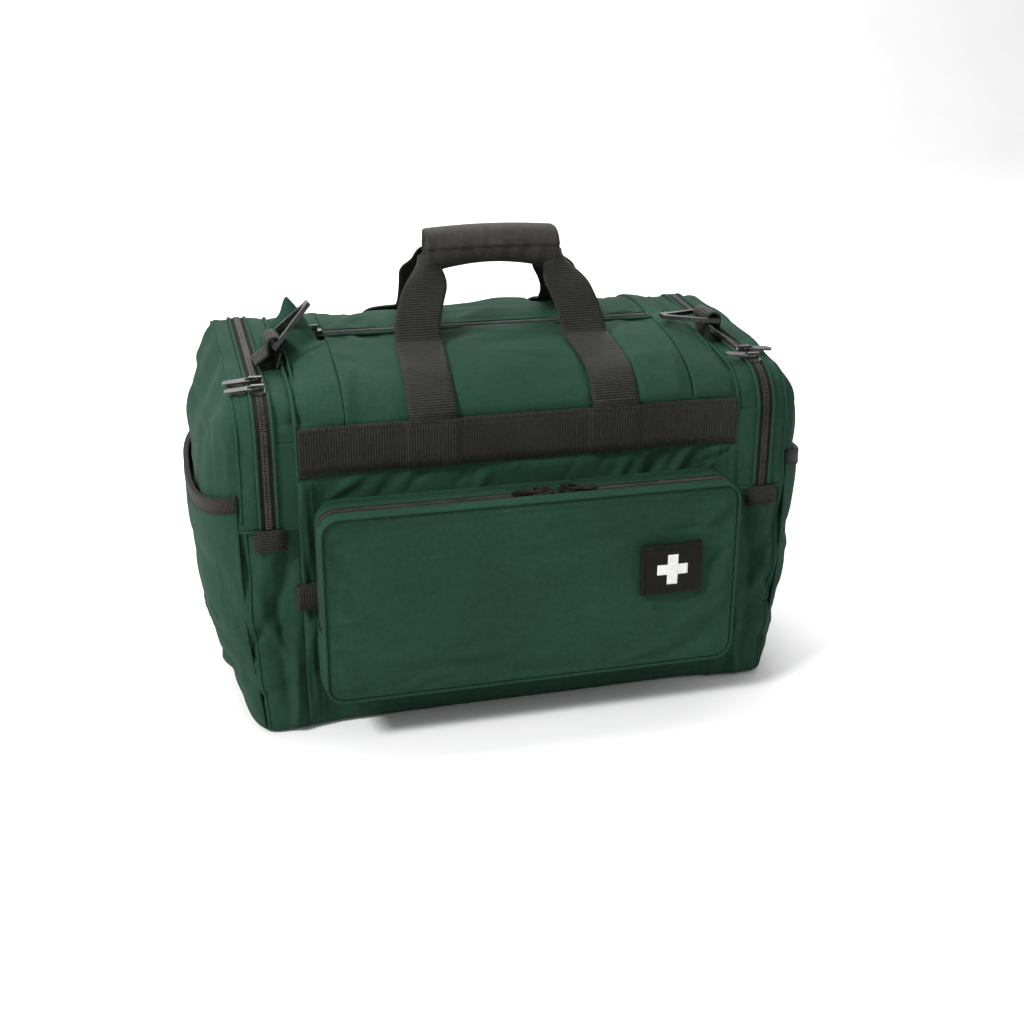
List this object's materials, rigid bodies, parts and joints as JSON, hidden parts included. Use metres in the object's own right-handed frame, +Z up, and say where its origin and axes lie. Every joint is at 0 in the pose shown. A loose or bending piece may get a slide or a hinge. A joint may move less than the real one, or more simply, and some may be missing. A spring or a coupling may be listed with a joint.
{
  "type": "soft-sided trauma bag",
  "caption": "Rectangular soft medical bag with a top zip, zipped end pockets, a boxed zipped front pocket, webbing handles with a padded grip, and shoulder-strap rings.",
  "frame": {"origin": "on the floor below the middle of the bag's box", "axes": "+X along the bag towards the end on the viewer's right, front pocket faces -Y, +Z up"},
  "size_m": [0.54, 0.2838, 0.3865],
  "materials": {
    "pack_cloth": "dark green woven pack cloth, soft sheen",
    "webbing": "ribbed charcoal webbing",
    "grip": "smooth padded charcoal sleeve",
    "coil": "nylon coil zip on woven tape",
    "zip_metal": "black enamelled zinc",
    "ring_metal": "black enamelled steel wire",
    "patch": "woven patch with a plain white cross",
    "divider_pad": "grey brushed divider pad",
    "board": "stiff polyethylene board"
  },
  "bodies": {
    "bag": {"bottom_panel": "pack_cloth", "base_board": "board", "front_panel": "pack_cloth", "rear_panel": "pack_cloth", "left_inner_wall": "pack_cloth", "right_inner_wall": "pack_cloth", "padded_dividers": "divider_pad", "left_top_strip": "pack_cloth", "right_top_strip": "pack_cloth", "main_zip_ends": "coil", "front_band": "webbing", "rear_band": "webbing", "strap_ends": "webbing", "left_end_shell": "pack_cloth", "right_end_shell": "pack_cloth", "left_end_gusset": "pack_cloth", "right_end_gusset": "pack_cloth", "left_zip_inner": "coil", "right_zip_inner": "coil", "left_slip_pocket": "pack_cloth", "right_slip_pocket": "pack_cloth", "left_ring_loop": "webbing", "right_ring_loop": "webbing", "zip_tabs": "webbing", "front_pocket_tub": "pack_cloth", "front_pocket_gusset": "pack_cloth", "pocket_zip_inner": "coil"},
    "front_flap": {"front_top_flap": "pack_cloth", "main_zip_front": "coil"},
    "rear_flap": {"rear_top_flap": "pack_cloth", "main_zip_rear": "coil"},
    "main_slider": {"main_slider": "zip_metal"},
    "main_puller": {"main_puller": "zip_metal"},
    "front_handle": {"front_handle": "webbing", "grip_pad": "grip"},
    "rear_handle": {"rear_handle": "webbing"},
    "left_cover": {"left_end_cover": "pack_cloth", "left_zip_outer": "coil", "left_slip_edge": "pack_cloth"},
    "right_cover": {"right_end_cover": "pack_cloth", "right_zip_outer": "coil", "right_slip_edge": "pack_cloth"},
    "pocket_cover": {"front_pocket_cover": "pack_cloth", "pocket_zip_outer": "coil", "patch": "patch"},
    "left_ring": {"left_ring": "ring_metal"},
    "right_ring": {"right_ring": "ring_metal"},
    "left_upper_slider": {"left_upper_slider": "zip_metal"},
    "left_upper_puller": {"left_upper_puller": "zip_metal"},
    "left_lower_slider": {"left_lower_slider": "zip_metal"},
    "left_lower_puller": {"left_lower_puller": "zip_metal"},
    "pocket_left_slider": {"pocket_left_slider": "zip_metal"},
    "pocket_left_puller": {"pocket_left_puller": "zip_metal"},
    "right_upper_slider": {"right_upper_slider": "zip_metal"},
    "right_upper_puller": {"right_upper_puller": "zip_metal"},
    "right_lower_slider": {"right_lower_slider": "zip_metal"},
    "right_lower_puller": {"right_lower_puller": "zip_metal"},
    "pocket_right_slider": {"pocket_right_slider": "zip_metal"},
    "pocket_right_puller": {"pocket_right_puller": "zip_metal"}
  },
  "joints": [
    {"name": "front_flap_fold", "type": "hinge", "parent": "bag", "child": "front_flap", "pos_m": [0, -0.1005, 0.262], "axis": [1, 0, 0], "range_deg": [0, 75]},
    {"name": "rear_flap_fold", "type": "hinge", "parent": "bag", "child": "rear_flap", "pos_m": [0, 0.1403, 0.262], "axis": [-1, 0, 0], "range_deg": [0, 75]},
    {"name": "front_handle_swing", "type": "hinge", "parent": "front_flap", "child": "front_handle", "pos_m": [0, -0.1005, 0.262], "axis": [1, 0, 0], "range_deg": [0, 105]},
    {"name": "rear_handle_swing", "type": "hinge", "parent": "rear_flap", "child": "rear_handle", "pos_m": [0, 0.1403, 0.262], "axis": [-1, 0, 0], "range_deg": [0, 105]},
    {"name": "main_zip_slide", "type": "slide", "parent": "bag", "child": "main_slider", "axis": [1, 0, 0], "range_m": [0, 0.304]},
    {"name": "main_puller_flip", "type": "hinge", "parent": "main_slider", "child": "main_puller", "pos_m": [-0.152, 0.0199, 0.3086], "axis": [0, 1, 0], "range_deg": [0, 170]},
    {"name": "left_cover_fold", "type": "hinge", "parent": "bag", "child": "left_cover", "pos_m": [-0.2705, 0.0199, 0.18], "axis": [0, -1, 0], "range_deg": [0, 100]},
    {"name": "right_cover_fold", "type": "hinge", "parent": "bag", "child": "right_cover", "pos_m": [0.2705, 0.0199, 0.18], "axis": [0, 1, 0], "range_deg": [0, 100]},
    {"name": "pocket_cover_fold", "type": "hinge", "parent": "bag", "child": "pocket_cover", "pos_m": [0, -0.1411, 0.1], "axis": [1, 0, 0], "range_deg": [0, 150]},
    {"name": "left_upper_zip_slide", "type": "slide", "parent": "left_cover", "child": "left_upper_slider", "axis": [0, 0.9962, 0.0874], "range_m": [0, 0.15]},
    {"name": "left_lower_zip_turn", "type": "hinge", "parent": "left_cover", "child": "left_lower_slider", "pos_m": [-0.206, -0.0661, 0.246], "axis": [1, 0, 0], "range_deg": [0, 80]},
    {"name": "left_upper_puller_flip", "type": "hinge", "parent": "left_upper_slider", "child": "left_upper_puller", "pos_m": [-0.206, -0.05113, 0.28707], "axis": [0, 0.9962, 0.0874], "range_deg": [0, 165]},
    {"name": "left_lower_puller_flip", "type": "hinge", "parent": "left_lower_slider", "child": "left_lower_puller", "pos_m": [-0.206, -0.06956, 0.28545], "axis": [0, 0.9962, 0.0874], "range_deg": [0, 165]},
    {"name": "pocket_left_zip_slide", "type": "slide", "parent": "pocket_cover", "child": "pocket_left_slider", "axis": [-1, 0, 0], "range_m": [0, 0.14]},
    {"name": "pocket_left_puller_flip", "type": "hinge", "parent": "pocket_left_slider", "child": "pocket_left_puller", "pos_m": [0.008, -0.1201, 0.2016], "axis": [0, 1, 0], "range_deg": [0, 165]},
    {"name": "right_upper_zip_slide", "type": "slide", "parent": "right_cover", "child": "right_upper_slider", "axis": [0, 0.9962, 0.0874], "range_m": [0, 0.15]},
    {"name": "right_lower_zip_turn", "type": "hinge", "parent": "right_cover", "child": "right_lower_slider", "pos_m": [0.206, -0.0661, 0.246], "axis": [1, 0, 0], "range_deg": [0, 80]},
    {"name": "right_upper_puller_flip", "type": "hinge", "parent": "right_upper_slider", "child": "right_upper_puller", "pos_m": [0.206, -0.05113, 0.28707], "axis": [0, -0.9962, -0.0874], "range_deg": [0, 165]},
    {"name": "right_lower_puller_flip", "type": "hinge", "parent": "right_lower_slider", "child": "right_lower_puller", "pos_m": [0.206, -0.06956, 0.28545], "axis": [0, 0.9962, 0.0874], "range_deg": [0, 165]},
    {"name": "pocket_right_zip_slide", "type": "slide", "parent": "pocket_cover", "child": "pocket_right_slider", "axis": [1, 0, 0], "range_m": [0, 0.12]},
    {"name": "pocket_right_puller_flip", "type": "hinge", "parent": "pocket_right_slider", "child": "pocket_right_puller", "pos_m": [0.028, -0.1201, 0.2016], "axis": [0, -1, 0], "range_deg": [0, 165]},
    {"name": "left_ring_swing", "type": "hinge", "parent": "bag", "child": "left_ring", "pos_m": [-0.187, -0.012, 0.307], "axis": [0, 1, 0], "range_deg": [-90, 42]},
    {"name": "right_ring_swing", "type": "hinge", "parent": "bag", "child": "right_ring", "pos_m": [0.187, -0.012, 0.307], "axis": [0, 1, 0], "range_deg": [0, 135]}
  ]
}
